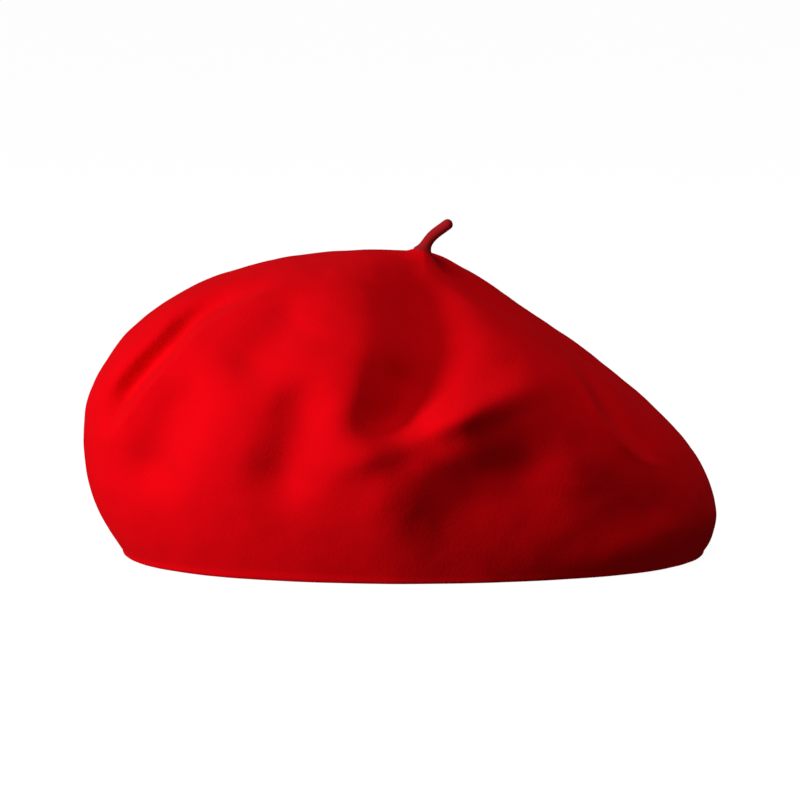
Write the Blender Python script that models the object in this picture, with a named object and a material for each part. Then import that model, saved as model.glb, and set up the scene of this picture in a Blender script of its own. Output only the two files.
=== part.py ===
"""Beret: a seamless felted wool shell with a stalk, lined and banded, standing on its rim.

Metres, +Z up. The origin is the centre of the head opening, on the rim's lower face.
+X runs along the long axis of the opening, +Y to the back, where the band is joined.
Each piece is one object, made by its own function from the few sizes below.
"""

import bmesh
import bpy
import numpy as np

MM = 0.001

# Felt shell
FELT = 2.0 * MM                # wall
HEM = 4.2 * MM                 # turned-in hem, double thickness
HEM_HEIGHT = 9.0 * MM
APEX_X = 3.0 * MM              # the stalk stands this far right of the opening's centre
HOLE_R = 1.5 * MM              # the stalk's hole in the crown
RIM_SQUARE = 0.25              # how much squarer than an ellipse the rim is

# Sections of the shell through the stalk, from rim to top: distance out and height, in mm
SIDE_LEFT = [(101, 0), (109, 12), (114.6, 27), (116.1, 41), (114.4, 55), (108, 67.8),
             (97, 80.6), (83, 90.6), (63.5, 98.7), (40, 103.8), (19, 105.4), (0, 105.6)]
SIDE_RIGHT = [(100.8, 0), (104.6, 6), (105.9, 12.5), (104, 22.5), (96.6, 36), (85.4, 47.6),
              (69, 60.8), (50, 73.6), (33.2, 84.2), (16.8, 93.8), (7, 100.6), (0, 105.6)]
FRONT = [(81, 0), (84.5, 9), (88, 21), (90.5, 34), (90.5, 47), (86, 60),
         (77.5, 72), (64, 83), (47.5, 92.5), (29, 99.5), (13, 104), (0, 105.6)]
BACK = [(81, 0), (87, 9), (93, 20), (97, 34), (96, 48), (90.5, 62),
        (81, 73.5), (67, 84), (50, 92.8), (31, 99.8), (14, 104), (0, 105.6)]

# Soft folds of the shell: line through them as seen from the front (x, and up as it looks
# from VIEW_RISE above the horizon), half-width and depth in mm. A negative depth stands proud
FRONT_FOLDS = [
    ([(4, 86), (5, 66), (-2, 47)], 14, 14.0),          # long dent below the stalk
    ([(-5, 60), (-9, 44)], 9, 4.0),                    # its deepest part, low on the left
    ([(23, 80), (25, 62)], 16, 6.0),                   # its slack right side
    ([(-38, 49), (-44, 28)], 10, 5.5),                 # oval dent, left of it
    ([(-43, 79), (-55, 67)], 9, 4.0),
    ([(-81, 50), (-89, 31)], 10, 7.0),
    ([(-96, 58), (-88, 70), (-78, 79)], 8, 6.0),       # the crease high on the left
    ([(-20, 32), (2, 42), (18, 48.5), (34, 55)], 8, -5.0),          # the main ridge
    ([(43, 26), (50, 14)], 32, 9.5),                   # broad hollow under that ridge
    ([(78, 42), (88, 36)], 8, 2.5),                    # the crease on the right
    ([(-10, 44), (-8, 26), (-8, -12)], 13, -3.0),      # edge from the ridge down
]
BACK_FOLDS = [
    ([(30, 70), (44, 30)], 13, 5.0),
    ([(-40, 74), (-30, 34)], 12, 4.5),
    ([(-4, 30), (4, 66)], 14, -3.0),
]
VIEW_RISE = 0.1187             # radians
FOLD_REACH = 18 * MM           # a fold fades out this far round the far side
RIM_FOLD = 0.25                # share of a fold's depth that reaches the rim

# Stalk
STALK_LENGTH = 14.4 * MM
STALK_R = 1.9 * MM
STALK_ROOT_R = 3.6 * MM
STALK_NECK_R = 0.9 * MM
STALK_LEAN = (24, 54)          # degrees from upright, at the root and at the tip
KNOT_R = 2.3 * MM

# Lining, band and their trim
CLEAR = 0.35 * MM              # free gap between pieces
LINING = 0.6 * MM
LINING_GAP = 1.1 * MM          # between the felt and the lining
LINING_START, LINING_JOINT = 3, 10         # rows of the grid where the side panel starts and ends
BAND_T = 1.2 * MM
BAND_LOW, BAND_HIGH = 1.5 * MM, 25 * MM
BAND_GAP = 0.8 * MM            # between the band's two ends, at the back
THREAD_R = 0.35 * MM
BOW_WIDTH, BOW_Z = 34 * MM, 14 * MM
LABEL_SIZE, LABEL_AT, LABEL_T = (36 * MM, 20 * MM), (0.0, 36 * MM), 0.5 * MM

AROUND = 52                    # cells round the shell's grid
ROWS = np.concatenate([[0, 0.045], np.linspace(0.09, 0.94, 17), [0.97]])
LINING_SEAM = ROWS[LINING_JOINT]


def material(name, colour, roughness):
    made = bpy.data.materials.new(name)
    made.use_nodes = True
    shader = made.node_tree.nodes["Principled BSDF"]
    shader.inputs["Base Color"].default_value = (*colour, 1.0)
    shader.inputs["Roughness"].default_value = roughness
    return made


def add(name, points, faces, colour, roughness=0.8):
    """One named object with its own material, its faces turned outwards."""
    mesh = bpy.data.meshes.new(name)
    mesh.from_pydata([tuple(map(float, p)) for p in points], [], faces)
    shape = bmesh.new()
    shape.from_mesh(mesh)
    bmesh.ops.recalc_face_normals(shape, faces=shape.faces)
    if shape.calc_volume(signed=True) < 0:
        bmesh.ops.reverse_faces(shape, faces=shape.faces)
    shape.to_mesh(mesh)
    shape.free()
    made = bpy.data.objects.new(name, mesh)
    mesh.materials.append(material(name, colour, roughness))
    bpy.context.scene.collection.objects.link(made)
    return made


def along(points, t):
    """Smooth curve through the points, t running from 0 to 1 with the chord length."""
    p = np.array(points, float)
    step = np.linalg.norm(np.diff(p, axis=0), axis=1)
    s = np.concatenate([[0], np.cumsum(step)])
    slope = np.gradient(p, s, axis=0)
    x = np.clip(np.asarray(t, float), 0, 1) * s[-1]
    i = np.clip(np.searchsorted(s, x, side="right") - 1, 0, len(s) - 2)
    h = (s[i + 1] - s[i])[..., None]
    u = (x - s[i])[..., None] / h
    return ((2 * u**3 - 3 * u**2 + 1) * p[i] + (u**3 - 2 * u**2 + u) * h * slope[i]
            + (3 * u**2 - 2 * u**3) * p[i + 1] + (u**3 - u**2) * h * slope[i + 1])


def smooth(x):
    x = np.clip(x, 0, 1)
    return x * x * (3 - 2 * x)


def unfolded(phi, t):
    """The shell's outer surface without its folds: phi goes round, t from rim to top."""
    phi, t = np.broadcast_arrays(np.asarray(phi, float), np.asarray(t, float))
    c, s = np.cos(phi), np.sin(phi)
    side = np.where((c < 0)[..., None], along(SIDE_LEFT, t), along(SIDE_RIGHT, t)) * MM
    face = np.where((s < 0)[..., None], along(FRONT, t), along(BACK, t)) * MM
    n = 2 + RIM_SQUARE * (1 - t)
    a, b = np.maximum(side[..., 0], 1e-9), np.maximum(face[..., 0], 1e-9)
    r = ((np.abs(c) / a) ** n + (np.abs(s) / b) ** n) ** (-1 / n)
    z = side[..., 1] * c * c + face[..., 1] * s * s
    return np.stack([APEX_X * smooth(t) + r * c, r * s, z], -1)


def normals(surface, phi, t):
    """Unit normals of a surface, outwards, by small differences."""
    e = 1e-3
    t = np.clip(t, e, 1 - 4 * e)
    d_phi = surface(phi + e, t) - surface(phi - e, t)
    d_t = surface(phi, t + e) - surface(phi, t - e)
    n = np.cross(d_phi, d_t)
    return n / np.linalg.norm(n, axis=-1, keepdims=True)


def distance(points, line):
    """Distance of 2-D points from a line of several stretches."""
    best = np.full(points.shape[:-1], 1e9)
    line = np.array(line, float) * MM
    for a, b in zip(line[:-1], line[1:]):
        u = np.clip(((points - a) @ (b - a)) / ((b - a) @ (b - a)), 0, 1)
        best = np.minimum(best, np.linalg.norm(points - a - u[..., None] * (b - a), axis=-1))
    return best


def fold_depth(p, t):
    """How far the folds press the shell in at these points."""
    depth = np.zeros(p.shape[:-1])
    up = p[..., 2] * np.cos(VIEW_RISE) + p[..., 1] * np.sin(VIEW_RISE)
    seen = np.stack([p[..., 0], up], -1)
    for folds, sign in ((FRONT_FOLDS, -1), (BACK_FOLDS, 1)):
        facing = smooth(0.5 + sign * p[..., 1] / (2 * FOLD_REACH))
        for line, width, deep in folds:
            away = distance(seen if sign < 0 else p[..., [0, 2]], line) / (width * MM)
            depth += facing * deep * MM * np.exp(-away**2)
    return depth * (RIM_FOLD + (1 - RIM_FOLD) * smooth(t / 0.2)) * smooth((1 - t) / 0.08)


def shell(phi, t):
    """The shell's outer surface with its folds, which go in mostly from the front or back."""
    p = unfolded(phi, t)
    inwards = -0.45 * normals(unfolded, phi, t)
    inwards[..., 1] -= np.tanh(p[..., 1] / (15 * MM))
    inwards /= np.linalg.norm(inwards, axis=-1, keepdims=True)
    return p + inwards * fold_depth(p, t)[..., None]


def inside(phi, t, depth):
    """Points this far under the outer surface."""
    return shell(phi, t) - normals(shell, phi, t) * np.asarray(depth)[..., None]


def grid_faces(start, rows, around, closed=True, flip=False):
    """Triangles of a grid of points listed row by row, all cut along the same diagonal,
    so that two walls close to each other stay parallel."""
    faces = []
    for j in range(rows - 1):
        for i in range(around if closed else around - 1):
            k = (i + 1) % around
            a, b = start + j * around + i, start + j * around + k
            c, d = start + (j + 1) * around + k, start + (j + 1) * around + i
            for f in ([a, b, c], [a, c, d]):
                faces.append(f[::-1] if flip else f)
    return faces


def hollow(outer, inner, closed=True, capped=False):
    """Closed wall between two grids of points: rows from the lower edge to the upper one.
    With capped, each grid's last row is a single point at the top."""
    rows, around = outer.shape[:2]
    points = list(outer.reshape(-1, 3)) + list(inner.reshape(-1, 3))
    k = rows * around
    faces = grid_faces(0, rows, around, closed) + grid_faces(k, rows, around, closed, True)
    edges = [0] if capped else [0, rows - 1]
    for row in edges:
        for i in range(around if closed else around - 1):
            j = (i + 1) % around
            q = [row * around + i, row * around + j, k + row * around + j, k + row * around + i]
            faces.append(q[::-1] if row == 0 else q)
    if capped:
        for base, flip in ((0, False), (k, True)):
            points.append(points[base + (rows - 1) * around].copy())
            top = len(points) - 1
            points[top] = np.mean([points[base + (rows - 1) * around + i]
                                   for i in range(around)], axis=0)
            for i in range(around):
                f = [base + (rows - 1) * around + i,
                     base + (rows - 1) * around + (i + 1) % around, top]
                faces.append(f[::-1] if flip else f)
    if not closed:
        for j in range(rows - 1):
            for i, flip in ((0, False), (around - 1, True)):
                q = [j * around + i, k + j * around + i,
                     k + (j + 1) * around + i, (j + 1) * around + i]
                faces.append(q[::-1] if flip else q)
    return points, faces


def tube(path, radii, sides=10, loop=False, across=None):
    """Round bar along a path of points. across gives a second radius, for a flat bar."""
    path = np.array(path, float)
    radii = np.broadcast_to(radii, len(path))
    wide = radii if across is None else np.broadcast_to(across, len(path))
    if loop:
        ahead = np.roll(path, -1, 0) - np.roll(path, 1, 0)
    else:
        ahead = np.gradient(path, axis=0)
    ahead /= np.linalg.norm(ahead, axis=1, keepdims=True)
    up = np.array([0.0, 0, 1]) if abs(ahead[:, 2]).max() < 0.95 else np.array([0.0, 1, 0])
    points = []
    for p, d, r, w in zip(path, ahead, radii, wide):
        u = np.cross(up, d)
        u /= np.linalg.norm(u)
        v = np.cross(d, u)
        for i in range(sides):
            a = 2 * np.pi * i / sides
            points.append(p + w * np.cos(a) * u + r * np.sin(a) * v)
    n = len(path)
    faces = []
    for j in range(n if loop else n - 1):
        for i in range(sides):
            k, m = (i + 1) % sides, (j + 1) % n
            faces.append([j * sides + i, j * sides + k, m * sides + k, m * sides + i])
    if not loop:
        faces.append(list(range(sides)))
        faces.append([(n - 1) * sides + i for i in reversed(range(sides))])
    return points, faces


def around_angles(n=AROUND):
    return np.linspace(0, 2 * np.pi, n, endpoint=False)


def rim_ring(inset, z, angles):
    """A ring parallel to the rim, this far inside its outer edge."""
    e = 1e-3
    rim = shell(angles, 0.0) * [1, 1, 0]
    run = (shell(angles + e, 0.0) - shell(angles - e, 0.0)) * [1, 1, 0]
    n = np.cross(run, [0, 0, 1.0])
    ring = rim - n / np.linalg.norm(n, axis=-1, keepdims=True) * inset
    ring[:, 2] = z
    return ring


def make_felt_shell():
    phi = around_angles()[None, :]
    t = np.append(ROWS, 1 - HOLE_R / (175 * MM))[:, None]
    outer = shell(phi, t)
    thick = FELT + (HEM - FELT) * (1 - smooth((outer[..., 2] - 0.6 * HEM_HEIGHT)
                                              / (0.4 * HEM_HEIGHT)))
    inner = inside(phi, t, thick)
    outer[0, :, 2] = 0
    inner[0] = rim_ring(HEM, 0.0, phi[0])
    for row, r in ((-1, HOLE_R), (-2, None)):
        if r:
            inner[row] = outer[row] - [0, 0, FELT]
    return add("felt_shell", *hollow(outer, inner), (0.72, 0.004, 0.012), 0.95)


def stalk_path(n=14):
    """Centre line of the stalk above the crown, leaning right more and more."""
    s = np.linspace(0, 1, n)
    lean = np.radians(STALK_LEAN[0] + (STALK_LEAN[1] - STALK_LEAN[0]) * smooth(1.6 * s))
    step = STALK_LENGTH / (n - 1)
    x = np.concatenate([[0], np.cumsum(np.sin(lean[:-1]) * step)])
    z = np.concatenate([[0], np.cumsum(np.cos(lean[:-1]) * step)])
    return np.stack([APEX_X + x, 0 * x, apex_z() + CLEAR + z], -1), s


def apex_z():
    return FRONT[-1][1] * MM


def make_stalk():
    path, s = stalk_path()
    radii = STALK_R + (STALK_ROOT_R - STALK_R) * np.exp(-(s / 0.13) ** 2)
    radii = radii * np.sqrt(np.clip(1 - ((s - 0.9) / 0.103).clip(0) ** 2, 0.02, 1))
    neck = [path[0] - [0, 0, FELT + 0.4 * MM], path[0] - [0, 0, 0.15 * MM]]
    path = np.concatenate([neck, path])
    radii = np.concatenate([[STALK_NECK_R, STALK_NECK_R], radii])
    return add("stalk", *tube(path, radii, 12), (0.42, 0.014, 0.02), 0.95)


def make_stalk_knot():
    """A flattened ball of yarn under the crown's hole, with a soft waist."""
    centre = np.array([APEX_X, 0, apex_z() - FELT - 3.4 * MM])
    a = np.linspace(-np.pi / 2, np.pi / 2, 9)
    path = [centre + [0, 0, 1.45 * MM * np.sin(x)] for x in a]
    radii = [max(KNOT_R * np.cos(x), 0.35 * MM) for x in a]
    return add("stalk_knot", *tube(path, radii, 14), (0.42, 0.014, 0.02), 0.95)


def lining_depth(p):
    """The lining lies close under the felt and dips below the knot."""
    away = np.hypot(p[..., 0] - APEX_X, p[..., 1])
    return FELT + LINING_GAP + 4.8 * MM * np.exp(-((away / (11 * MM)) ** 2))


def make_lining(name, rows, capped, colour):
    phi = around_angles()[None, :]
    t = rows[:, None] + 0 * phi
    deep = lining_depth(shell(phi, t))
    outer, inner = inside(phi, t, deep), inside(phi, t, deep + LINING)
    return add(name, *hollow(outer, inner, True, capped), colour, 0.35)


def make_lining_seam():
    """Thread on the inner side of the joint between the two lining panels."""
    phi = around_angles()
    t = np.full_like(phi, LINING_SEAM)
    deep = lining_depth(shell(phi, t)) + LINING + CLEAR + THREAD_R
    return add("lining_seam", *tube(inside(phi, t, deep), THREAD_R, 5, True), (0.5, 0.01, 0.02))


def band_angles(n):
    """Angles from one end of the band, at the back, round to the other end."""
    half = (BAND_GAP / 2) / (FRONT[0][0] * MM)
    return np.linspace(np.pi / 2 + half, 2.5 * np.pi - half, n)


def make_sweatband():
    angles = band_angles(61)
    inset = HEM + CLEAR
    heights = [BAND_LOW, BAND_HIGH]
    outer = np.array([rim_ring(inset, z, angles) for z in heights])
    inner = np.array([rim_ring(inset + BAND_T, z, angles) for z in heights])
    return add("sweatband", *hollow(outer, inner, closed=False), (0.035, 0.022, 0.018), 0.45)


def make_band_stitch():
    ring = rim_ring(HEM + CLEAR + BAND_T + CLEAR + THREAD_R, BAND_LOW + 3 * MM,
                    around_angles(48))
    return add("band_stitch", *tube(ring, THREAD_R, 5, True), (0.55, 0.01, 0.02))


def bow_line(n, inset):
    """Points along the band's inner face at the back, from left to right."""
    half = BOW_WIDTH / 2 / (FRONT[0][0] * MM)
    return rim_ring(HEM + CLEAR + BAND_T + inset, BOW_Z,
                    np.linspace(np.pi / 2 + half, np.pi / 2 - half, n))


def make_band_bow():
    path = bow_line(13, 3.2 * MM)
    u = np.abs(np.linspace(-1, 1, 13))
    tall = (1.9 + 4.0 * smooth(u * 1.5) - 0.8 * smooth((u - 0.8) / 0.2)) * MM
    thick = (0.9 + 1.0 * np.sin(np.pi * np.clip(u, 0, 1))) * MM
    return add("band_bow", *tube(path, tall, 10, across=thick), (0.5, 0.008, 0.015), 0.4)


def make_bow_knot():
    """The wrap round the bow's waist: a short ring whose axis runs along the band."""
    centre = bow_line(3, 3.2 * MM)[1]
    a = np.linspace(0, 2 * np.pi, 20, endpoint=False)
    high, deep, wall = 1.9 * MM + 0.9 * MM, 0.9 * MM + 0.9 * MM, 0.45 * MM
    ring = [centre + [0, deep * np.cos(x), high * np.sin(x)] for x in a]
    points, faces = [], []
    for p in ring:
        out = (p - centre) / np.linalg.norm(p - centre)
        for side, far in ((-1, -1), (-1, 1), (1, 1), (1, -1)):
            points.append(p + out * far * wall + [side * 2.2 * MM, 0, 0])
    for j in range(20):
        for i in range(4):
            k, m = (i + 1) % 4, (j + 1) % 20
            faces.append([j * 4 + i, j * 4 + k, m * 4 + k, m * 4 + i])
    return add("bow_knot", points, faces, (0.5, 0.008, 0.015), 0.4)


def crown_point(x, y, depth):
    """The point this far under the crown that lies above (x, y), found by halving."""
    x, y = np.broadcast_arrays(np.asarray(x, float), np.asarray(y, float))
    low, high = np.full(x.shape, 0.5), np.full(x.shape, 0.999)
    for _ in range(30):
        t = (low + high) / 2
        phi = np.arctan2(y, x - APEX_X * smooth(t))
        p = shell(phi, t)
        outside = np.hypot(p[..., 0], p[..., 1]) > np.hypot(x, y)
        low, high = np.where(outside, t, low), np.where(outside, high, t)
    deep = lining_depth(shell(phi, t)) + LINING + depth
    return inside(phi, t, deep)


def make_label():
    w, h = LABEL_SIZE
    x = LABEL_AT[0] + np.linspace(-w / 2, w / 2, 9)[None, :]
    y = LABEL_AT[1] + np.linspace(-h / 2, h / 2, 6)[:, None]
    upper = crown_point(x, y, CLEAR)
    lower = crown_point(x, y, CLEAR + LABEL_T)
    return add("label", *hollow(upper, lower, closed=False), (0.75, 0.70, 0.60), 0.6)


def make_label_stitch():
    w, h = (side - 3 * MM for side in LABEL_SIZE)
    corners = np.array([(-1, -1), (1, -1), (1, 1), (-1, 1)]) * [w / 2, h / 2] + LABEL_AT
    ring = np.concatenate([a + (b - a) * np.linspace(0, 1, 6, endpoint=False)[:, None]
                           for a, b in zip(corners, np.roll(corners, -1, 0))])
    path = crown_point(ring[:, 0], ring[:, 1], CLEAR + LABEL_T + CLEAR + THREAD_R)
    return add("label_stitch", *tube(path, 0.8 * THREAD_R, 5, True), (0.5, 0.01, 0.02))


def main():
    for old in list(bpy.data.objects):
        bpy.data.objects.remove(old, do_unlink=True)
    make_felt_shell()
    make_stalk()
    make_stalk_knot()
    gap = 1.6 * CLEAR / (175 * MM)
    satin = (0.30, 0.006, 0.012)
    side, crown = ROWS[LINING_START:LINING_JOINT + 1].copy(), ROWS[LINING_JOINT:].copy()
    side[-1] -= gap
    crown[0] += gap
    make_lining("lining_side", side, False, satin)
    make_lining("lining_crown", np.append(crown, 0.99), True, satin)
    make_lining_seam()
    make_sweatband()
    make_band_stitch()
    make_band_bow()
    make_bow_knot()
    make_label()
    make_label_stitch()


main()
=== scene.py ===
"""Beret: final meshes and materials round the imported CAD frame. Metres, +Z up.

The felt shell is one surface round a line from the rim's middle to the stalk's root: four
sections give its form, and lists of dents, ridges and creases give its folds. The lining
and the label follow the same surface at a depth of their own, and the band, its stitches
and the bow follow its rim.
"""

import bpy
import numpy as np
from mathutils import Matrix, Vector, noise


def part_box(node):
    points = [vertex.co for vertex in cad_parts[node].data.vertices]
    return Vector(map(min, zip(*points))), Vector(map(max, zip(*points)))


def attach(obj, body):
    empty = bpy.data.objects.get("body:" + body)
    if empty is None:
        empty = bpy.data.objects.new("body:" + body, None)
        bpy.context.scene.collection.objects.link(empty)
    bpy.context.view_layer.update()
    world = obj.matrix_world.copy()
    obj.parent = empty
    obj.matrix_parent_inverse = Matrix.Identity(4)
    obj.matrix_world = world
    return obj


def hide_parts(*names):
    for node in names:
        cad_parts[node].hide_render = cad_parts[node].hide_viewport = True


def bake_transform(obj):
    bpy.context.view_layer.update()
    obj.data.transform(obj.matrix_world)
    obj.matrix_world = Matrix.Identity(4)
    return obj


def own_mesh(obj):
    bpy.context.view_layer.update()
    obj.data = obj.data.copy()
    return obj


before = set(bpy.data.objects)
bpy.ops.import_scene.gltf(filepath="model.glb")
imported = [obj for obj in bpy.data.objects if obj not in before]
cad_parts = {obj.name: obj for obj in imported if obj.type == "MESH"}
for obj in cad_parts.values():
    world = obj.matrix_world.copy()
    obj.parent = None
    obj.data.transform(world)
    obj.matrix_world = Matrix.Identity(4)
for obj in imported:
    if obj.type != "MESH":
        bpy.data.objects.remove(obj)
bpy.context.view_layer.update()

MM = 0.001

# ---------------------------------------------------------------- form of the shell
FELT = 2.0 * MM
HEM = 4.2 * MM
HEM_HEIGHT = 9.0 * MM
APEX_X = 3.0 * MM
RIM_SQUARE = 0.25
LIFT = 1.1 * MM
LIFT_AT = np.radians(244)
SIDE_LEFT = [(101, 0), (109, 12), (114.6, 27), (116.1, 41), (114.4, 55), (108, 67.8),
             (97, 80.6), (83, 90.6), (63.5, 98.7), (40, 103.8), (19, 105.4), (0, 105.6)]
SIDE_RIGHT = [(100.8, 0), (104.6, 6), (105.9, 12.5), (104, 22.5), (96.6, 36), (85.4, 47.6),
              (69, 60.8), (50, 73.6), (33.2, 84.2), (16.8, 93.8), (7, 100.6), (0, 105.6)]
FRONT = [(81, 0), (84.5, 9), (88, 21), (90.5, 34), (90.5, 47), (86, 60),
         (77.5, 72), (64, 83), (47.5, 92.5), (29, 99.5), (13, 104), (0, 105.6)]
BACK = [(81, 0), (87, 9), (93, 20), (97, 34), (96, 48), (90.5, 62),
        (81, 73.5), (67, 84), (50, 92.8), (31, 99.8), (14, 104), (0, 105.6)]

# Soft dents: line through them seen from the front (x, z), half-width, depth, all in mm.
# A negative depth stands proud.
FRONT_DENTS = [
    ([(4, 86), (5, 66), (-2, 47)], 14, 15.0),          # long dent below the stalk
    ([(-5, 60), (-9, 44)], 8, 5.0),                    # its deepest part, low on the left
    ([(23, 80), (25, 62)], 16, 6.0),                   # its slack right side
    ([(-38, 49), (-44, 28)], 10, 5.5),                 # oval dent, left of it
    ([(-43, 79), (-55, 67)], 9, 4.0),
    ([(-81, 50), (-89, 31)], 10, 7.0),
    ([(-36, 22), (-20, 32), (2, 42), (18, 48.5), (34, 55), (60, 64)], 6, -6.0),  # ridge
    ([(43, 26), (50, 14)], 32, 9.5),                   # broad hollow under that ridge
    ([(18, 24), (34, 28)], 13, 4.5),                   # and its deepest part
    ([(50, -4), (82, 14)], 7, 1.5),                    # second hollow, low on the right
    ([(-10, 48), (-8, 26), (-8, -12), (-8, -30)], 14, -3.2),   # edge from the ridge down
]
# Sharp creases: line, ridge height and width, depth and width of the hollow to its left
FRONT_CREASES = [
    ([(-107, 36), (-101, 44), (-92, 56), (-82, 66.5), (-73, 76), (-57, 86), (-40, 94)],
     1.0, 2.0, 17.5, 12),
    ([(49, 70), (58, 58), (65, 46), (73, 37), (81, 31), (91, 30)], 3.2, 2.2, 7.0, 9),
]
BACK_DENTS = [
    ([(30, 70), (44, 30)], 13, 5.0),
    ([(-40, 74), (-30, 34)], 12, 4.5),
    ([(-4, 30), (4, 66)], 14, -3.0),
]
FOLD_REACH = 18 * MM
CREASE_MARGIN = 5.0             # mm
RIM_FOLD = 0.25                 # share of a fold's depth that reaches the rim
FOLD_TILT = 0.45                # weight of the surface's normal in the way a fold goes in
FOLD_TURN = 15 * MM
VIEW_RISE = np.radians(6.8)     # the front folds are placed as seen from this far above


def smooth(x):
    x = np.clip(x, 0, 1)
    return x * x * (3 - 2 * x)


def unit(v):
    """The same directions, each of length 1."""
    return v / np.linalg.norm(v, axis=-1, keepdims=True)


def along(points, t):
    """Smooth curve through the points, t running from 0 to 1 with the chord length."""
    p = np.array(points, float)
    step = np.linalg.norm(np.diff(p, axis=0), axis=1)
    s = np.concatenate([[0], np.cumsum(step)])
    slope = np.gradient(p, s, axis=0)
    x = np.clip(np.asarray(t, float), 0, 1) * s[-1]
    i = np.clip(np.searchsorted(s, x, side="right") - 1, 0, len(s) - 2)
    h = (s[i + 1] - s[i])[..., None]
    u = (x - s[i])[..., None] / h
    return ((2 * u**3 - 3 * u**2 + 1) * p[i] + (u**3 - 2 * u**2 + u) * h * slope[i]
            + (3 * u**2 - 2 * u**3) * p[i + 1] + (u**3 - u**2) * h * slope[i + 1])


def unfolded(phi, t):
    """The shell's outer surface without its folds: phi goes round, t from rim to top."""
    phi, t = np.broadcast_arrays(np.asarray(phi, float), np.asarray(t, float))
    c, s = np.cos(phi), np.sin(phi)
    side = np.where((c < 0)[..., None], along(SIDE_LEFT, t), along(SIDE_RIGHT, t)) * MM
    face = np.where((s < 0)[..., None], along(FRONT, t), along(BACK, t)) * MM
    n = 2 + RIM_SQUARE * (1 - t)
    a, b = np.maximum(side[..., 0], 1e-9), np.maximum(face[..., 0], 1e-9)
    r = ((np.abs(c) / a) ** n + (np.abs(s) / b) ** n) ** (-1 / n)
    z = side[..., 1] * c * c + face[..., 1] * s * s
    # The soft edge lifts a little at the front, left of the middle
    lifted = np.exp(-((phi - LIFT_AT) / 0.42) ** 2) * (1 - smooth(t / 0.2))
    return np.stack([APEX_X * smooth(t) + r * c, r * s, z + LIFT * lifted], -1)


def normals(surface, phi, t):
    """Unit normals of a surface, outwards, by small differences."""
    e = 1e-3
    t = np.clip(t, e, 1 - 4 * e)
    return unit(np.cross(surface(phi + e, t) - surface(phi - e, t),
                         surface(phi, t + e) - surface(phi, t - e)))


def nearest(points, line, steps=28):
    """Signed distance in mm of 2-D points from a smooth line, positive on its left, and
    the place along it, 0 to 1."""
    curve = along(line, np.linspace(0, 1, steps)) * MM
    best = np.full(points.shape[:-1], 1e9)
    sign, place = np.ones_like(best), np.zeros_like(best)
    for k, (a, b) in enumerate(zip(curve[:-1], curve[1:])):
        d = b - a
        u = np.clip(((points - a) @ d) / (d @ d), 0, 1)
        off = points - a - u[..., None] * d
        away = np.linalg.norm(off, axis=-1)
        side = d[0] * off[..., 1] - d[1] * off[..., 0]
        closer = away < best
        best = np.where(closer, away, best)
        sign = np.where(closer, np.where(side >= 0, 1.0, -1.0), sign)
        place = np.where(closer, (k + u) / (steps - 1), place)
    return sign * best / MM, place


def seen_from_front(p):
    """Across and up as they look from the front, a little from above."""
    up = p[..., 2] * np.cos(VIEW_RISE) + p[..., 1] * np.sin(VIEW_RISE)
    return np.stack([p[..., 0], up], -1)


def fold_depth(p, t):
    """How far in metres the folds press the shell in at these points."""
    depth = np.zeros(p.shape[:-1])
    seen = seen_from_front(p)
    for dents, side in ((FRONT_DENTS, -1), (BACK_DENTS, 1)):
        facing = smooth(0.5 + side * p[..., 1] / (2 * FOLD_REACH))
        for line, width, deep in dents:
            away, place = nearest(seen if side < 0 else p[..., [0, 2]], line)
            fade = smooth(place / 0.4) * smooth((1 - place) / 0.45) if deep < 0 else 1
            depth += fade * facing * deep * MM * np.exp(-((away / width) ** 2))
    return depth * (RIM_FOLD + (1 - RIM_FOLD) * smooth(t / 0.2)) * smooth((1 - t) / 0.08)


def crease_depth(p, margin=0.0):
    """How far in metres the creases set the shell back at these points. With a margin, in
    mm, the hollow is that much wider and has no ridge, so that a piece inside stays clear."""
    depth = np.zeros(p.shape[:-1])
    seen = seen_from_front(p)
    facing = smooth(0.5 - p[..., 1] / (2 * FOLD_REACH))
    for line, high, sharp, deep, wide in FRONT_CREASES:
        away, place = nearest(seen, line)
        fade = facing * smooth(place / 0.25) * smooth((1 - place) / 0.5) * MM
        fade = fade * smooth((-p[..., 1] / MM - 4) / 22)
        if not margin:
            depth -= fade * high * np.exp(-np.abs(away) / sharp)
        riser = smooth((away + margin) / (1.3 * sharp + 0.5 * margin))
        depth += fade * deep * riser * (1 - smooth((away - 1.5 - margin) / wide))
    return depth


def shell(phi, t, margin=0.0):
    """The shell's outer surface with its folds."""
    p = unfolded(phi, t)
    # Mostly along y, so that a fold stays where it is seen from the front
    inwards = -FOLD_TILT * normals(unfolded, phi, t)
    inwards[..., 1] -= np.tanh(p[..., 1] / FOLD_TURN)
    return (p + unit(inwards) * fold_depth(p, t)[..., None]
            + [0, 1, 0] * crease_depth(p, margin)[..., None])


def calm(phi, t):
    """The shell's outer surface with its creases widened, which the lining follows."""
    return shell(phi, t, CREASE_MARGIN)


def way_out(phi, t):
    """Outward directions for the pieces inside: steady across a crease, where the normals
    of the folded surface swing round."""
    near = smooth(crease_depth(unfolded(phi, t), CREASE_MARGIN) / (1.0 * MM))[..., None]
    return unit(normals(calm, phi, t) * (1 - near) + normals(unfolded, phi, t) * near)


# ---------------------------------------------------------------- mesh helpers
def mesh_object(name, points, faces, material):
    mesh = bpy.data.meshes.new(name)
    mesh.from_pydata([tuple(map(float, p)) for p in points], [], faces)
    mesh.validate()
    mesh.shade_smooth()
    made = bpy.data.objects.new(name, mesh)
    mesh.materials.append(material)
    bpy.context.scene.collection.objects.link(made)
    return made


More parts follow.
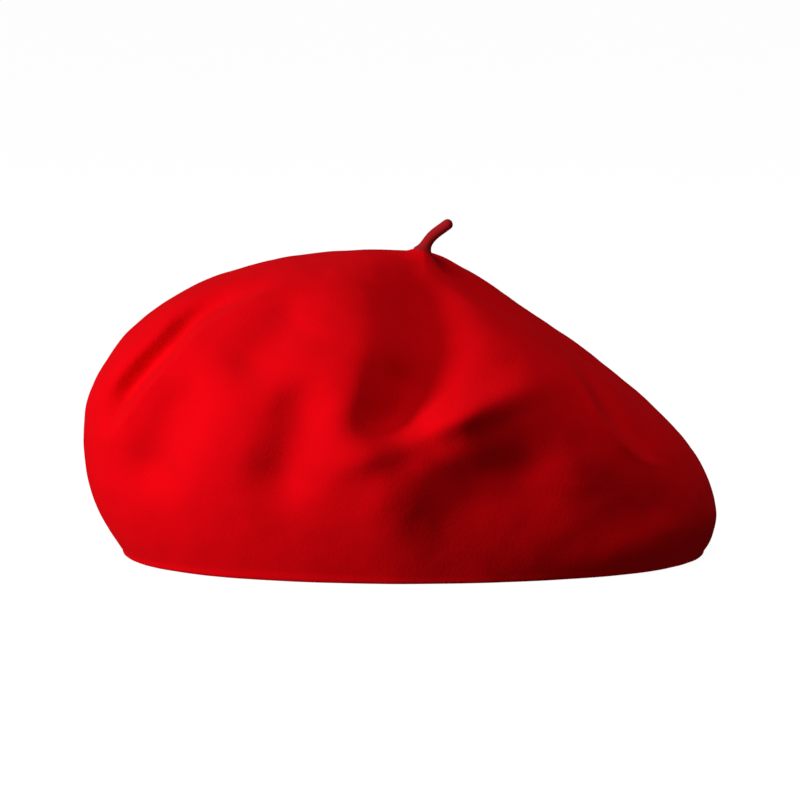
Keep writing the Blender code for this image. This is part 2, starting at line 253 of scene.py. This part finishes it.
def grid_faces(rows, around):
    """Quads between each closed ring of points and the next."""
    j, i = np.meshgrid(np.arange(rows - 1), np.arange(around), indexing="ij")
    k = (i + 1) % around
    return np.stack([j * around + i, j * around + k, (j + 1) * around + k,
                     (j + 1) * around + i], -1).reshape(-1, 4).tolist()


def tube_faces(rows, around):
    """Faces of a tube whose two end points come after its rings."""
    first, last = rows * around, (rows - 1) * around
    faces = grid_faces(rows, around)
    faces += [[(i + 1) % around, i, first] for i in range(around)]
    faces += [[last + i, last + (i + 1) % around, first + 1] for i in range(around)]
    return faces


def cap(points, faces, base, around, flip):
    """Closes the ring of points that starts at base with a fan round its middle."""
    points.append(np.mean(points[base:base + around], axis=0))
    top = len(points) - 1
    for i in range(around):
        f = [base + i, base + (i + 1) % around, top]
        faces.append(f[::-1] if flip else f)


# ---------------------------------------------------------------- materials
def felt_material(name, colour, dark):
    made = bpy.data.materials.new(name)
    made.use_nodes = True
    tree = made.node_tree
    nodes, links = tree.nodes, tree.links
    shader = nodes["Principled BSDF"]
    shader.inputs["Roughness"].default_value = 1.0
    shader.inputs["Specular IOR Level"].default_value = 0.04
    shader.inputs["Sheen Weight"].default_value = 0.06
    shader.inputs["Sheen Roughness"].default_value = 0.5
    shader.inputs["Sheen Tint"].default_value = (1.0, 0.03, 0.04, 1)
    where = nodes.new("ShaderNodeTexCoord")
    fine = nodes.new("ShaderNodeTexNoise")
    fine.inputs["Scale"].default_value = 900
    fine.inputs["Detail"].default_value = 4
    broad = nodes.new("ShaderNodeTexNoise")
    broad.inputs["Scale"].default_value = 60
    broad.inputs["Detail"].default_value = 5
    for n in (fine, broad):
        links.new(where.outputs["Object"], n.inputs["Vector"])
    mix = nodes.new("ShaderNodeMix")
    mix.data_type = "RGBA"
    mix.inputs["A"].default_value = (*dark, 1)
    mix.inputs["B"].default_value = (*colour, 1)
    ramp = nodes.new("ShaderNodeMapRange")
    ramp.inputs["From Min"].default_value = 0.35
    ramp.inputs["From Max"].default_value = 0.65
    ramp.inputs["To Min"].default_value = 0.6
    links.new(broad.outputs["Fac"], ramp.inputs["Value"])
    links.new(ramp.outputs["Result"], mix.inputs["Factor"])
    links.new(mix.outputs["Result"], shader.inputs["Base Color"])
    bump = nodes.new("ShaderNodeBump")
    bump.inputs["Distance"].default_value = 0.0003
    bump.inputs["Strength"].default_value = 0.35
    links.new(fine.outputs["Fac"], bump.inputs["Height"])
    links.new(bump.outputs["Normal"], shader.inputs["Normal"])
    return made


RED = (0.86, 0.0004, 0.0045)
felt = felt_material("felt", RED, (0.74, 0.0002, 0.003))
stalk_felt = felt_material("stalk_felt", (0.45, 0.014, 0.018), (0.36, 0.009, 0.012))


# ---------------------------------------------------------------- felt shell
AROUND = 420
UP = 170
SHELL_FROM, SHELL_TO = 0.012, 0.9999       # places along t of its first and last rows
LUMPS = 0.35                               # mm, relief of the felted wool
ROOT_REACH, ROOT_RISE = 3.6 * MM, 1.5 * MM
EDGE_POWER = 0.75                          # below 1: the turned edge is squarer than a circle


def make_felt_shell():
    phi = np.linspace(0, 2 * np.pi, AROUND, endpoint=False)[None, :]
    t = np.linspace(SHELL_FROM, SHELL_TO, UP)[:, None]
    outer = shell(phi, t)
    n = normals(shell, phi, t)
    lumps = np.array([noise.noise(Vector(q) * 55) + 0.5 * noise.noise(Vector(q) * 140)
                      for q in outer.reshape(-1, 3)]).reshape(outer.shape[:-1])
    outer = outer + n * (lumps * LUMPS * MM * smooth((1 - t) / 0.06))[..., None]
    # The felt is drawn up a little round the stalk's root
    near = np.hypot(outer[..., 0] - APEX_X, outer[..., 1]) / ROOT_REACH
    outer[..., 2] += ROOT_RISE * np.exp(-near ** 2)
    thick = FELT + (HEM - FELT) * (1 - smooth((outer[..., 2] - 0.6 * HEM_HEIGHT)
                                              / (0.4 * HEM_HEIGHT)))
    inner = outer - n * thick[..., None]
    # Rounded lower edge, turned in: half a ring between the two walls, down to z = 0
    level = unit(n[0] * [1, 1, 0])
    middle = outer[0] - level * HEM / 2
    turn = np.linspace(0, np.pi, 11)[1:-1]
    edge = []
    for a in turn:
        c, s = np.cos(a), np.sin(a)
        q = middle + level * (np.sign(c) * abs(c) ** EDGE_POWER * HEM / 2)
        q[:, 2] = outer[0, :, 2] * (1 - s ** EDGE_POWER)
        edge.append(q)
    inner[0] = outer[0] - level * HEM
    inner[0, :, 2] = outer[0, :, 2]
    rows = np.concatenate([inner[::-1], np.array(edge)[::-1], outer])
    points = list(rows.reshape(-1, 3))
    faces = grid_faces(len(rows), AROUND)
    cap(points, faces, 0, AROUND, True)
    cap(points, faces, (len(rows) - 1) * AROUND, AROUND, False)
    made = mesh_object("felt_shell_visual", points, faces, felt)
    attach(made, "beret_body")
    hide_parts("felt_shell")
    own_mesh(made)
    return made


# ---------------------------------------------------------------- stalk
STALK_LENGTH = 14.4 * MM
STALK_R = 1.9 * MM
STALK_LEAN = (24, 54)          # degrees off upright, at the root and at the tip
STALK_FROM = -0.05             # its root starts this share of its length lower, in the felt
STALK_SUNK = 0.7 * MM
STALK_FLARE = 1.6 * MM
ROOT = np.array([APEX_X, 0, 105.6 * MM])


def make_stalk():
    n, sides = 60, 32
    s = np.linspace(STALK_FROM, 1, n)
    lean = np.radians(STALK_LEAN[0] + (STALK_LEAN[1] - STALK_LEAN[0]) * smooth(1.6 * s))
    step = STALK_LENGTH * (s[1] - s[0])
    x = np.concatenate([[0], np.cumsum(np.sin(lean[:-1]) * step)])
    z = np.concatenate([[0], np.cumsum(np.cos(lean[:-1]) * step)])
    path = ROOT + np.stack([x, 0 * x, z - STALK_SUNK], -1)
    radius = STALK_R + STALK_FLARE * np.exp(-((s - STALK_FROM) / 0.12) ** 1.5)
    # The last stretch rounds off to the tip
    radius = radius * np.sqrt(np.clip(1 - ((s - 0.87) / 0.131).clip(0) ** 2, 0.0005, 1))
    ahead = unit(np.gradient(path, axis=0))
    v = np.array([0, 1.0, 0])
    u = np.cross(v, ahead)
    a = np.linspace(0, 2 * np.pi, sides, endpoint=False)
    ring = (np.cos(a)[None, :, None] * u[:, None, :]
            + np.sin(a)[None, :, None] * v[None, None, :]) * radius[:, None, None]
    points = (path[:, None, :] + ring).reshape(-1, 3)
    points = list(points) + [path[0], path[-1]]
    made = mesh_object("stalk_visual", points, tube_faces(n, sides), stalk_felt)
    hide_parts("stalk")
    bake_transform(made)
    return made


# ---------------------------------------------------------------- pieces inside
CLEAR = 0.35 * MM
LINING = 0.6 * MM
LINING_GAP = 1.1 * MM
LINING_FROM, LINING_JOINT, LINING_TOP = 0.143, 0.515, 0.99      # places along t
JOINT_GAP = 0.0009                         # along t too, each side of the joint
LINING_SLACK, SLACK_REACH = 7.8 * MM, 13 * MM
FINE_GATHERS, FINE_HIGH = 86, 0.75 * MM    # how many go round, and how high
SLOW_GATHERS, SLOW_HIGH = 31, 0.9 * MM
BAND_T = 1.2 * MM
BAND_LOW, BAND_HIGH = 1.5 * MM, 25 * MM
BAND_GAP = 0.8 * MM
THREAD_R = 0.3 * MM
BOW_WIDTH, BOW_Z = 34 * MM, 14 * MM
LABEL_SIZE, LABEL_AT, LABEL_T = (36 * MM, 20 * MM), (0.0, 36 * MM), 0.5 * MM
LABEL_BORDER = (1.9 * MM, 3.2 * MM)        # the woven line, from here to here off the edge
LABEL_LIFT = 0.15 * MM                     # the label lies this far off the lining
BOW_OFF = 3.2 * MM                         # middle of the bow from the band's inner face
RIBBON_HALF = 0.16 * MM                    # half of the ribbon's thickness
STITCH_LINE = 3 * MM                       # above the band's lower edge
STITCH_PULL, PULL_REACH = 0.25 * MM, 1.1 * MM
STITCH_FILL = 0.74                         # share of the pitch that a stitch covers
MOTTLE = 25


def surface_material(name, colour, dark, roughness, specular, texture, scale, depth,
                     stretch=(1, 1, 1), sheen=0.0):
    """A two-tone material with a fine relief: cells, or ribs of a weave."""
    made = bpy.data.materials.new(name)
    made.use_nodes = True
    nodes, links = made.node_tree.nodes, made.node_tree.links
    shader = nodes["Principled BSDF"]
    shader.inputs["Roughness"].default_value = roughness
    shader.inputs["Specular IOR Level"].default_value = specular
    shader.inputs["Sheen Weight"].default_value = sheen
    where, mapping = nodes.new("ShaderNodeTexCoord"), nodes.new("ShaderNodeMapping")
    mapping.inputs["Scale"].default_value = stretch
    links.new(where.outputs["Object"], mapping.inputs["Vector"])
    broad = nodes.new("ShaderNodeTexNoise")
    broad.inputs["Scale"].default_value = MOTTLE
    broad.inputs["Detail"].default_value = 5
    links.new(where.outputs["Object"], broad.inputs["Vector"])
    mix = nodes.new("ShaderNodeMix")
    mix.data_type = "RGBA"
    mix.inputs["A"].default_value = (*dark, 1)
    mix.inputs["B"].default_value = (*colour, 1)
    links.new(broad.outputs["Fac"], mix.inputs["Factor"])
    links.new(mix.outputs["Result"], shader.inputs["Base Color"])
    kinds = {"cells": "ShaderNodeTexVoronoi", "ribs": "ShaderNodeTexWave"}
    relief = nodes.new(kinds[texture])
    relief.inputs["Scale"].default_value = scale
    if texture == "ribs":
        relief.inputs["Distortion"].default_value = 0.6
    links.new(mapping.outputs["Vector"], relief.inputs["Vector"])
    bump = nodes.new("ShaderNodeBump")
    bump.inputs["Strength"].default_value = 0.5
    bump.inputs["Distance"].default_value = depth
    links.new(relief.outputs["Distance" if texture == "cells" else "Fac"], bump.inputs["Height"])
    links.new(bump.outputs["Normal"], shader.inputs["Normal"])
    return made


satin = surface_material("satin", (0.34, 0.004, 0.010), (0.24, 0.002, 0.006), 0.34, 0.45,
                         "ribs", 900, 0.00005, (1, 1, 0.3), sheen=0.1)
leather = surface_material("leather", (0.050, 0.030, 0.024), (0.026, 0.016, 0.013), 0.42, 0.45,
                           "cells", 850, 0.00012)
thread = surface_material("thread", (0.62, 0.010, 0.020), (0.45, 0.006, 0.012), 0.6, 0.3,
                          "ribs", 1500, 0.00008)
ribbon = surface_material("ribbon", (0.50, 0.006, 0.012), (0.38, 0.004, 0.008), 0.4, 0.4,
                          "ribs", 700, 0.0001, (1, 0.1, 0.1), sheen=0.1)
woven = surface_material("woven", (0.78, 0.73, 0.62), (0.66, 0.60, 0.50), 0.62, 0.25,
                         "ribs", 1100, 0.0001, (1, 0.2, 0.2))
woven_edge = surface_material("woven_edge", (0.55, 0.010, 0.018), (0.42, 0.006, 0.010), 0.6,
                              0.25, "ribs", 1100, 0.0001, (1, 0.2, 0.2))


def settle(made, slot, *nodes):
    """What every piece of the soft body shares: it rides, stands for its CAD nodes and gets a
    mesh of its own. The finish slot it is given is not used."""
    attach(made, "beret_body")
    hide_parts(*nodes)
    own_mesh(made)
    return made


def wall(outer, inner, capped=False, closed=True):
    """Points and faces of a closed wall between two grids, rows from low to high."""
    rows, around = outer.shape[:2]
    points = list(outer.reshape(-1, 3)) + list(inner.reshape(-1, 3))
    k = rows * around
    last = around if closed else around - 1
    faces = []
    for j in range(rows - 1):
        for i in range(last):
            a, b = j * around + i, j * around + (i + 1) % around
            faces.append([a, b, b + around, a + around])
            faces.append([k + a + around, k + b + around, k + b, k + a])
    for row in ([0] if capped else [0, rows - 1]):
        for i in range(last):
            a, b = row * around + i, row * around + (i + 1) % around
            faces.append([k + a, k + b, b, a] if row == 0 else [a, b, k + b, k + a])
    if capped:
        cap(points, faces, (rows - 1) * around, around, False)
        cap(points, faces, k + (rows - 1) * around, around, True)
    if not closed:
        for j in range(rows - 1):
            for i, flip in ((0, False), (around - 1, True)):
                a = j * around + i
                f = [a, a + around, k + a + around, k + a]
                faces.append(f[::-1] if flip else f)
    return points, faces


def lining_depth(p):
    """The lining lies close under the felt and hangs slack below the knot, low enough to
    stay clear of it when the crown is pressed flat."""
    away = np.hypot(p[..., 0] - APEX_X, p[..., 1])
    crease = 1.6 * MM * smooth(crease_depth(p, CREASE_MARGIN + 4) / (1.0 * MM))
    return FELT + LINING_GAP + crease + LINING_SLACK * np.exp(-((away / SLACK_REACH) ** 2))


def gathers(phi, t):
    """How far in metres the lining's gathers stand off the felt: close together at the
    seams, soft in between, each at its own pace."""
    wander = 6 * np.sin(3 * phi + 1) + 3 * np.sin(7 * phi + 2)
    fine = 0.5 + 0.5 * np.sin(FINE_GATHERS * phi + wander)
    slow = 0.5 + 0.5 * np.sin(SLOW_GATHERS * phi + 0.6 * wander + 5 * t)
    at_seam = np.exp(-np.abs(t - LINING_JOINT) / 0.035) + np.exp(-np.abs(t - LINING_FROM) / 0.09)
    fade = smooth((0.96 - t) / 0.25)
    return fade * (FINE_HIGH * fine * at_seam + SLOW_HIGH * slow ** 2)


def make_lining(name, low, high, capped, node):
    around, rows = ((480, 48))
    phi = np.linspace(0, 2 * np.pi, around, endpoint=False)[None, :]
    t = np.linspace(low, high, rows)[:, None] + 0 * phi
    p = calm(phi, t)
    deep = lining_depth(unfolded(phi, t)) + gathers(phi, t)
    n = way_out(phi, t)
    outer, inner = p - n * deep[..., None], p - n * (deep + LINING)[..., None]
    made = mesh_object(name, *wall(outer, inner, capped), satin)
    return settle(made, "satin", node)


def rim_ring(inset, z, angles):
    """A ring parallel to the rim, this far inside its outer edge, and its inward normals."""
    e = 1e-3
    rim = shell(angles, 0.0 * angles) * [1, 1, 0]
    run = (shell(angles + e, 0.0 * angles) - shell(angles - e, 0.0 * angles)) * [1, 1, 0]
    out = unit(np.cross(run, [0, 0, 1.0]))
    ring = rim - out * np.broadcast_to(inset, len(angles))[:, None]
    ring[:, 2] = z
    return ring, -out


def make_sweatband():
    half = (BAND_GAP / 2) / (BACK[0][0] * MM)
    count = 480
    angles = np.linspace(np.pi / 2 + half, 2.5 * np.pi - half, count)
    a = np.linspace(0, np.pi, 7)
    # Round the strip's section: up its outer face, over the top, down its inner face
    top = [(BAND_T / 2 * (1 - np.cos(x)), BAND_HIGH - BAND_T / 2 + BAND_T / 2 * np.sin(x))
           for x in a]
    low = [(BAND_T / 2 * (1 + np.cos(x)), BAND_LOW + BAND_T / 2 - BAND_T / 2 * np.sin(x))
           for x in a]
    up = np.linspace(BAND_LOW + BAND_T, BAND_HIGH - BAND_T, 9)
    section = [(0, z) for z in up] + top + [(BAND_T, z) for z in up[::-1]] + low
    rows = []
    for across, z in section:
        high = (z - BAND_LOW) / (BAND_HIGH - BAND_LOW)
        # A channel where the stitches draw the strip in, and a little life along its top edge
        drawn = (STITCH_PULL * np.exp(-((z - BAND_LOW - STITCH_LINE) / PULL_REACH) ** 2)
                 * (across > 0.6 * BAND_T))
        wave = high ** 2 * (np.sin(9 * angles + 1) + 0.6 * np.sin(23 * angles)) * 0.25 * MM
        ring, _ = rim_ring(HEM + CLEAR + across - drawn + wave.clip(0), z - 0.3 * wave,
                           angles)
        rows.append(ring)
    rows = np.array(rows)
    n, k = rows.shape[:2]
    points = list(rows.reshape(-1, 3))
    faces = [[j * k + i, j * k + i + 1, (j + 1) % n * k + i + 1, (j + 1) % n * k + i]
             for j in range(n) for i in range(k - 1)]
    faces += [[j * k for j in range(n)], [j * k + k - 1 for j in range(n)][::-1]]
    made = mesh_object("sweatband_visual", points, faces, leather)
    return settle(made, "band_leather", "sweatband")


def make_stitches(name, path, into, pitch, node, radius=THREAD_R):
    """Separate stitches along a dense closed path; into points from each path point into
    the cloth, where both ends of every stitch dive."""
    path, into = np.vstack([path, path[:1]]), np.vstack([into, into[:1]])
    s = np.concatenate([[0], np.cumsum(np.linalg.norm(np.diff(path, axis=0), axis=1))])
    count = max(int(s[-1] / pitch), 1)
    sides, cuts = 8, 9
    points, faces = [], []
    for m in range(count):
        at = (m + 0.5 + np.linspace(-0.5, 0.5, cuts) * STITCH_FILL) * s[-1] / count
        line = np.stack([np.interp(at, s, path[:, c]) for c in range(3)], -1)
        way = unit(np.stack([np.interp(at, s, into[:, c]) for c in range(3)], -1))
        u = np.linspace(-1, 1, cuts)
        line = line + way * (radius * 1.2 * np.abs(u) ** 3)[:, None]
        side = np.cross(way, unit(np.gradient(line, axis=0)))
        r = radius * (0.25 + 0.75 * np.sqrt(np.clip(1 - u ** 2 * 0.97, 0, 1)))
        start = len(points)
        for q, w, v, rr in zip(line, way, side, r):
            for i in range(sides):
                x = 2 * np.pi * i / sides
                points.append(q + rr * (np.cos(x) * v + np.sin(x) * w))
        for j in range(cuts - 1):
            for i in range(sides):
                a, b = start + j * sides + i, start + j * sides + (i + 1) % sides
                faces.append([a, b, b + sides, a + sides])
        faces.append([start + i for i in range(sides)][::-1])
        faces.append([start + (cuts - 1) * sides + i for i in range(sides)])
    made = mesh_object(name, points, faces, thread)
    return settle(made, "thread", node)


def make_band_stitch():
    angles = np.linspace(0, 2 * np.pi, 720, endpoint=False)
    ring, into = rim_ring(HEM + CLEAR + BAND_T + 0.1 * MM, BAND_LOW + STITCH_LINE, angles)
    return make_stitches("band_stitch_visual", ring, -into, 3.6 * MM, "band_stitch")


def make_lining_seam():
    phi = np.linspace(0, 2 * np.pi, 720, endpoint=False)
    t = np.full_like(phi, LINING_JOINT)
    p = calm(phi, t)
    n = way_out(phi, t)
    deep = lining_depth(unfolded(phi, t)) + gathers(phi, t) + LINING + 0.8 * THREAD_R
    return make_stitches("lining_seam_visual", p - n * deep[:, None], n, 3.0 * MM, "lining_seam")


def crown_point(x, y, depth):
    """The point this far under the crown's lining, in from where the shell passes over
    (x, y), which is found by halving."""
    x, y = np.broadcast_arrays(np.asarray(x, float), np.asarray(y, float))
    low, high = np.full(x.shape, 0.5), np.full(x.shape, 0.999)
    for _ in range(30):
        t = (low + high) / 2
        phi = np.arctan2(y, x - APEX_X * smooth(t))
        p = calm(phi, t)
        outside = np.hypot(p[..., 0], p[..., 1]) > np.hypot(x, y)
        low, high = np.where(outside, t, low), np.where(outside, high, t)
    deep = lining_depth(unfolded(phi, t)) + gathers(phi, t) + LINING + depth
    n = way_out(phi, t)
    return p - n * deep[..., None], n


def make_label():
    w, h = LABEL_SIZE
    nx, ny = 49, 29
    x, y = np.meshgrid(np.linspace(-w / 2, w / 2, nx), np.linspace(-h / 2, h / 2, ny))
    # Puffed between its stitches, thin at its folded edge
    edge = np.minimum(w / 2 - np.abs(x), h / 2 - np.abs(y))
    puff = 0.35 * MM * smooth((edge - 1.5 * MM) / (5 * MM))
    round_off = 0.2 * MM * (1 - smooth(edge / (0.8 * MM)))
    upper, _ = crown_point(x + LABEL_AT[0], y + LABEL_AT[1], LABEL_LIFT + puff + round_off)
    lower, _ = crown_point(x + LABEL_AT[0], y + LABEL_AT[1],
                           LABEL_LIFT + LABEL_T + puff - round_off)
    made = mesh_object("label_visual", *wall(upper, lower, closed=False), woven)
    made.data.materials.append(woven_edge)
    flat = ((edge < LABEL_BORDER[1]) & (edge > LABEL_BORDER[0])).reshape(-1)
    for polygon in made.data.polygons:
        if all(flat[v % flat.size] for v in polygon.vertices):
            polygon.material_index = 1
    return settle(made, "label_cloth", "label")


def make_label_stitch():
    w, h = (side - 2 * MM for side in LABEL_SIZE)
    corners = np.array([(-1, -1), (1, -1), (1, 1), (-1, 1)]) * [w / 2, h / 2] + LABEL_AT
    ring = np.concatenate([a + (b - a) * np.linspace(0, 1, 30, endpoint=False)[:, None]
                           for a, b in zip(corners, np.roll(corners, -1, 0))])
    path, n = crown_point(ring[:, 0], ring[:, 1], LABEL_LIFT + LABEL_T + 0.15 * MM)
    return make_stitches("label_stitch_visual", path, n, 2.2 * MM, "label_stitch",
                         radius=0.22 * MM)


def bow_frame():
    """Middle of the band's inner face at the back, and the direction into the opening."""
    ring, into = rim_ring(HEM + CLEAR + BAND_T, BOW_Z, np.array([np.pi / 2]))
    return ring[0], into[0]


def make_band_bow():
    """Two flat loops of one ribbon, pinched in the middle."""
    centre, into = bow_frame()
    n, across = 97, 15
    u = np.linspace(0, 2 * np.pi, n)
    side = np.sign(np.sin(u))
    v = np.where(u <= np.pi, u / np.pi, (u - np.pi) / np.pi)
    x = side * (BOW_WIDTH / 2 - 0.4 * MM) * np.sin(np.pi * v) ** 0.75
    off = BOW_OFF - 1.45 * MM * np.cos(np.pi * v) * smooth(np.sin(np.pi * v) / 0.5)
    w = np.linspace(-1, 1, across)
    half = (1.9 + 4.0 * smooth(np.abs(x) / (9 * MM))) * MM
    droop = -1.2 * MM * (np.abs(x) / (BOW_WIDTH / 2)) ** 2
    shells = []
    for face in (-1, 1):
        grid = []
        for i in range(n):
            pleat = 0.35 * MM * np.cos(w * np.pi * 1.5) * (1 - smooth(abs(x[i]) / (13 * MM)))
            curl = 0.25 * MM * w ** 2 * smooth(abs(x[i]) / (6 * MM))
            d = off[i] + pleat - curl + face * RIBBON_HALF * (1 if v[i] > 0.5 else -1)
            grid.append(np.stack([centre[0] + x[i] + 0 * w + face * RIBBON_HALF * side[i]
                                  * smooth((abs(x[i]) - 12 * MM) / (4 * MM)),
                                  centre[1] + into[1] * d,
                                  centre[2] + droop[i] + half[i] * w], -1))
        shells.append(np.array(grid))
    made = mesh_object("band_bow_visual", *wall(shells[0], shells[1], closed=False), ribbon)
    return settle(made, "ribbon", "band_bow")


def make_bow_knot():
    """The wrap round the bow's waist, softly pinched."""
    centre, into = bow_frame()
    n, across = 40, 11
    a = np.linspace(0, 2 * np.pi, n, endpoint=False)
    w = np.linspace(-1, 1, across)
    rings = []
    for wall_off in (0.45 * MM, -0.05 * MM):
        grid = []
        for x in w:
            pinch = 0.18 * MM * np.cos(x * np.pi * 2)
            high, deep = 2.75 * MM + wall_off + pinch, 2.25 * MM + wall_off + pinch
            grid.append(np.stack([centre[0] + x * 2.3 * MM + 0 * a,
                                  centre[1] + into[1] * (BOW_OFF + deep * np.cos(a)),
                                  centre[2] + high * np.sin(a)], -1))
        rings.append(np.array(grid))
    made = mesh_object("bow_knot_visual", *wall(rings[0], rings[1]), ribbon)
    return settle(made, "ribbon", "bow_knot")


def make_stalk_knot():
    """A flattened ball of yarn, wound in one length."""
    low, high = (np.array(c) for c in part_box("stalk_knot"))
    centre, size = (low + high) / 2, (high - low) / 2
    turns, n, sides, yarn = 9, 400, 8, 0.42 * MM
    s = np.linspace(0, 1, n)
    around = 2 * np.pi * turns * s
    tilt = 2 * np.pi * 3.0 * s
    ball = np.stack([np.cos(around) * np.cos(0.9 * np.sin(tilt)), np.sin(around)
                     * np.cos(0.9 * np.cos(tilt)), np.sin(0.9 * np.sin(tilt + around))], -1)
    ball = unit(ball)
    path = centre + ball * (size - yarn)
    ahead = unit(np.gradient(path, axis=0))
    side = unit(np.cross(ball, ahead))
    up = np.cross(ahead, side)
    a = np.linspace(0, 2 * np.pi, sides, endpoint=False)
    ring = np.cos(a)[None, :, None] * side[:, None] + np.sin(a)[None, :, None] * up[:, None]
    points = list((path[:, None] + yarn * ring).reshape(-1, 3)) + [path[0], path[-1]]
    made = mesh_object("stalk_knot_visual", points, tube_faces(n, sides), stalk_felt)
    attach(made, "crown_top")
    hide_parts("stalk_knot")
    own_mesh(made)
    return made


make_felt_shell()
make_stalk()
make_stalk_knot()
crown = make_lining("lining_crown_visual", LINING_JOINT + JOINT_GAP, LINING_TOP, True,
                    "lining_crown")
side_panel = make_lining("lining_side_visual", LINING_FROM, LINING_JOINT - JOINT_GAP, False,
                         "lining_side")
make_lining_seam()
make_sweatband()
make_band_stitch()
make_band_bow()
make_bow_knot()
make_label()
make_label_stitch()


# ---------------------------------------------------------------- stage
FLOOR_R, FLOOR_Z = 14, -0.0002
LIT = (0, 0, 0.05)                         # both lamps point here


def area(name, place, size, power):
    data = bpy.data.lights.new(name, "AREA")
    data.shape = "DISK"
    data.size = size
    data.energy = power
    lamp = bpy.data.objects.new(name, data)
    lamp.location = place
    lamp.rotation_euler = (Vector(LIT) - Vector(place)).to_track_quat("-Z", "Y").to_euler()
    bpy.context.scene.collection.objects.link(lamp)


def make_stage():
    floor_mesh = bpy.data.meshes.new("floor")
    n = 64
    ring = [(FLOOR_R * np.cos(a), FLOOR_R * np.sin(a), FLOOR_Z)
            for a in np.linspace(0, 2 * np.pi, n, False)]
    floor_mesh.from_pydata(ring, [], [list(range(n))])
    floor = bpy.data.objects.new("floor", floor_mesh)
    bpy.context.scene.collection.objects.link(floor)
    pale = bpy.data.materials.new("pale_floor")
    pale.use_nodes = True
    shader = pale.node_tree.nodes["Principled BSDF"]
    shader.inputs["Base Color"].default_value = (0.16, 0.16, 0.16, 1)
    shader.inputs["Roughness"].default_value = 1
    shader.inputs["Specular IOR Level"].default_value = 0
    shader.inputs["Emission Color"].default_value = (1, 1, 1, 1)
    shader.inputs["Emission Strength"].default_value = 0.97
    floor_mesh.materials.append(pale)
    floor.visible_diffuse = False
    floor.visible_glossy = False
    world = bpy.context.scene.world or bpy.data.worlds.new("world")
    bpy.context.scene.world = world
    world.use_nodes = True
    tree = world.node_tree
    tree.nodes.clear()
    out = tree.nodes.new("ShaderNodeOutputWorld")
    dim, white = (tree.nodes.new("ShaderNodeBackground") for _ in range(2))
    dim.inputs["Strength"].default_value = 0.11
    white.inputs["Strength"].default_value = 1.0
    mix = tree.nodes.new("ShaderNodeMixShader")
    path = tree.nodes.new("ShaderNodeLightPath")
    tree.links.new(path.outputs["Is Camera Ray"], mix.inputs["Fac"])
    tree.links.new(dim.outputs[0], mix.inputs[1])
    tree.links.new(white.outputs[0], mix.inputs[2])
    tree.links.new(mix.outputs[0], out.inputs["Surface"])
    area("key", (-1.32, -0.66, 0.27), 0.35, 17)
    area("top", (0.0, -0.45, 1.35), 0.7, 6)
    view = bpy.context.scene.view_settings
    view.view_transform = "Standard"
    view.look = "None"


def make_camera():
    """A long lens, a little above the horizon. The frame is 280 mm wide at the object."""
    raised, far, wide = VIEW_RISE, 2.0, 0.280
    target = Vector((-4.9 * MM, 0, 52.9 * MM))
    data = bpy.data.cameras.new("camera")
    data.sensor_width = 36
    data.lens = 36 * far / wide
    camera = bpy.data.objects.new("camera", data)
    camera.location = target + far * Vector((0, -np.cos(raised), np.sin(raised)))
    camera.rotation_euler = (np.pi / 2 - raised, 0, 0)
    bpy.context.scene.collection.objects.link(camera)
    bpy.context.scene.camera = camera


make_stage()
make_camera()
